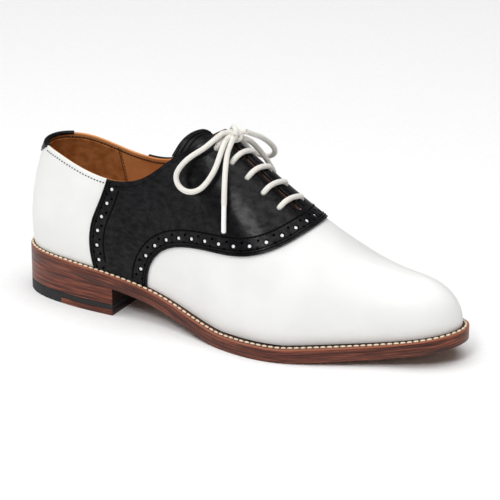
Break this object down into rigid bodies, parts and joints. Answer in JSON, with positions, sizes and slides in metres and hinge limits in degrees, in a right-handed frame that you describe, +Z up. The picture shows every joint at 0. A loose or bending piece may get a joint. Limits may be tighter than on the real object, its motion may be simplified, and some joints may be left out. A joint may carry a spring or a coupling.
{
  "type": "saddle oxford shoe",
  "caption": "Laced leather saddle oxford for the right foot: white vamp and heel, black punched saddle and heel tab, stitched welt, leather sole and stacked heel.",
  "frame": {"origin": "on the floor, under the middle of the shoe's length and width", "axes": "+X towards the toe, +Y towards the medial side, +Z up"},
  "size_m": [0.3, 0.1056, 0.128],
  "materials": {
    "white_leather": "smooth calf, soft sheen",
    "black_leather": "soft grained calf, satin",
    "sole_leather": "dyed and burnished edge, satin",
    "welt_leather": "tan, stitched",
    "insole_leather": "unfinished tan",
    "top_piece_rubber": "matte",
    "lace_cotton": "waxed round cotton"
  },
  "bodies": {
    "root": {"outsole": "sole_leather", "welt": "welt_leather", "insole": "insole_leather", "heel_lift_1": "sole_leather", "heel_lift_2": "sole_leather", "heel_lift_3": "sole_leather", "heel_top_piece": "top_piece_rubber", "heel_top_insert": "sole_leather", "upper": "white_leather", "saddle": "black_leather", "heel_tab": "black_leather", "tongue": "black_leather", "lace_crossing_1": "lace_cotton", "lace_crossing_2": "lace_cotton", "lace_crossing_3": "lace_cotton", "lace_crossing_4": "lace_cotton", "lace_stub_near": "lace_cotton", "lace_stub_far": "lace_cotton", "lace_knot": "lace_cotton", "lace_loop_near": "lace_cotton", "lace_loop_far": "lace_cotton", "lace_end_near": "lace_cotton", "lace_end_far": "lace_cotton"}
  },
  "joints": []
}
